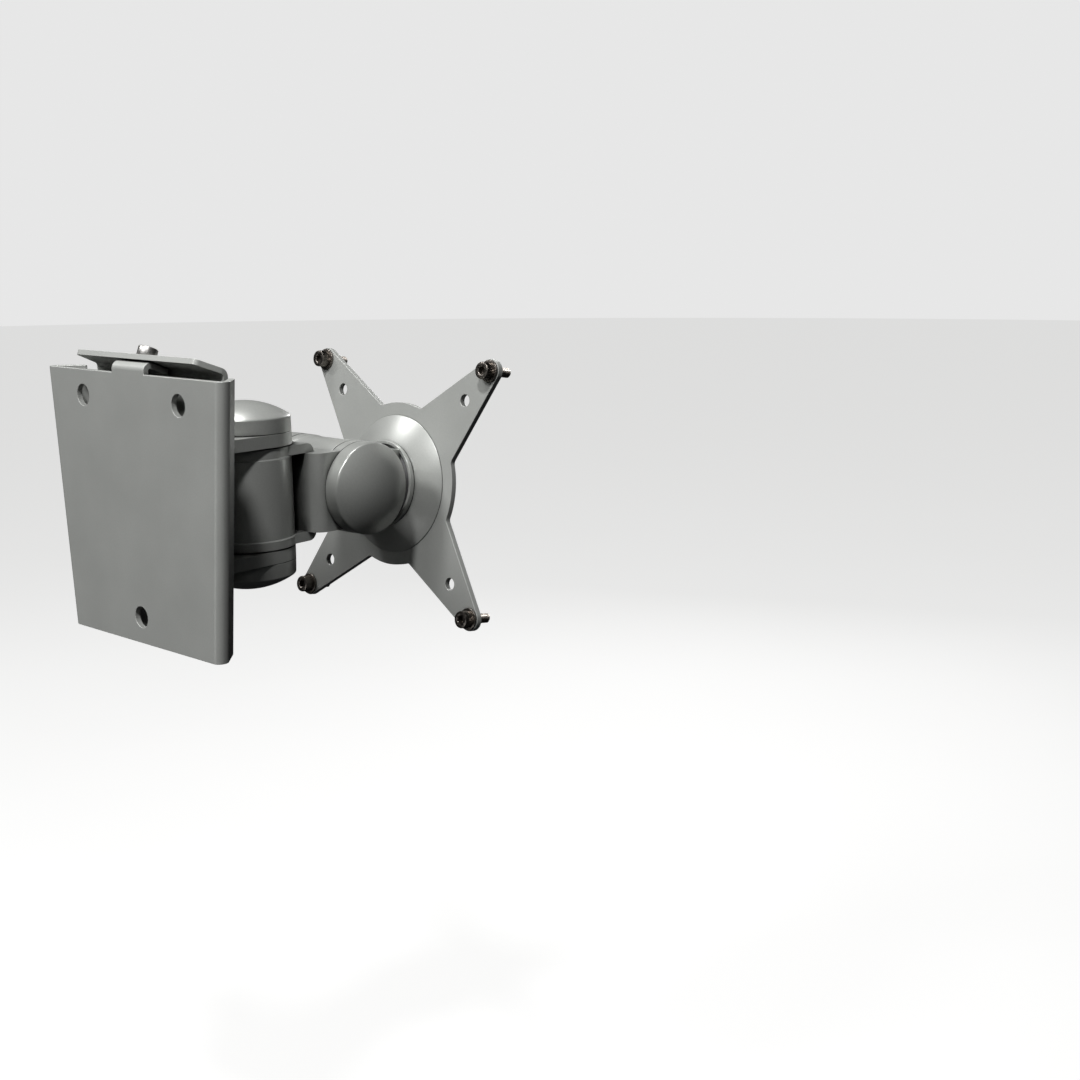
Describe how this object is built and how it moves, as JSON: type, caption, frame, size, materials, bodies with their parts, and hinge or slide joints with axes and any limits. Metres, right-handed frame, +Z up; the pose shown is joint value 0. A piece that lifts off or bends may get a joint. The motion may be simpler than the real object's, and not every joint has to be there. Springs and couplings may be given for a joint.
{
  "type": "monitor arm",
  "caption": "Short wall-mounted monitor arm: tapered wall receiver, slide-in plate with a lock screw, swivel link, tilting head and a turning cross-shaped mounting plate.",
  "frame": {"origin": "on the wall face, on the middle line, level with the tilt axis", "axes": "+Y away from the wall towards the monitor, +Z up, +X to the right as seen from the wall"},
  "size_m": [0.1098, 0.1447, 0.1198],
  "materials": {
    "painted_sheet": "satin silver-grey powder coat",
    "painted_casting": "satin silver-grey paint on a die casting",
    "painted_cap": "satin silver-grey paint on moulded plastic",
    "bright_steel": "bright nickel plate",
    "spring_steel": "oiled spring steel",
    "dark_nickel": "dark nickel plate",
    "bush_polymer": "black bearing polymer"
  },
  "bodies": {
    "wall_mount": {"wall_receiver": "painted_sheet", "slide_plate": "painted_sheet", "base_yoke": "painted_casting", "yoke_screws": "bright_steel", "swivel_bolt": "bright_steel", "swivel_nut": "bright_steel", "swivel_washers": "bright_steel", "swivel_springs": "spring_steel", "swivel_cap_top": "painted_cap", "swivel_cap_bottom": "painted_cap"},
    "lock": {"lock_screw": "bright_steel"},
    "link": {"link_casting": "painted_casting", "swivel_bush_top": "bush_polymer", "swivel_bush_bottom": "bush_polymer", "tilt_bolt": "bright_steel", "tilt_nut": "bright_steel", "tilt_washers": "bright_steel", "tilt_springs": "spring_steel", "tilt_cap_right": "painted_cap", "tilt_cap_left": "painted_cap"},
    "head": {"head_casting": "painted_casting", "tilt_bush_right": "bush_polymer", "tilt_bush_left": "bush_polymer", "rotation_screw": "bright_steel", "rotation_washer": "bright_steel", "rotation_spring": "spring_steel"},
    "vesa": {"hub_cone": "painted_casting", "rotation_bush": "bush_polymer", "vesa_plate": "painted_sheet", "hub_screws": "bright_steel", "vesa_screws": "dark_nickel", "vesa_washers": "dark_nickel"}
  },
  "joints": [
    {"name": "lock_turn", "type": "hinge", "parent": "wall_mount", "child": "lock", "pos_m": [0, 0.00801, 0.05495], "axis": [0, 0.3681, 0.9298], "continuous": true},
    {"name": "swivel", "type": "hinge", "parent": "wall_mount", "child": "link", "pos_m": [0, 0.0492, 0], "axis": [0, 0, 1], "range_deg": [-80, 80]},
    {"name": "tilt", "type": "hinge", "parent": "link", "child": "head", "pos_m": [0, 0.0902, 0], "axis": [1, 0, 0], "range_deg": [-22, 38]},
    {"name": "rotate", "type": "hinge", "parent": "head", "child": "vesa", "pos_m": [0, 0.0902, 0], "axis": [0, 0.9903, -0.1392], "continuous": true}
  ]
}
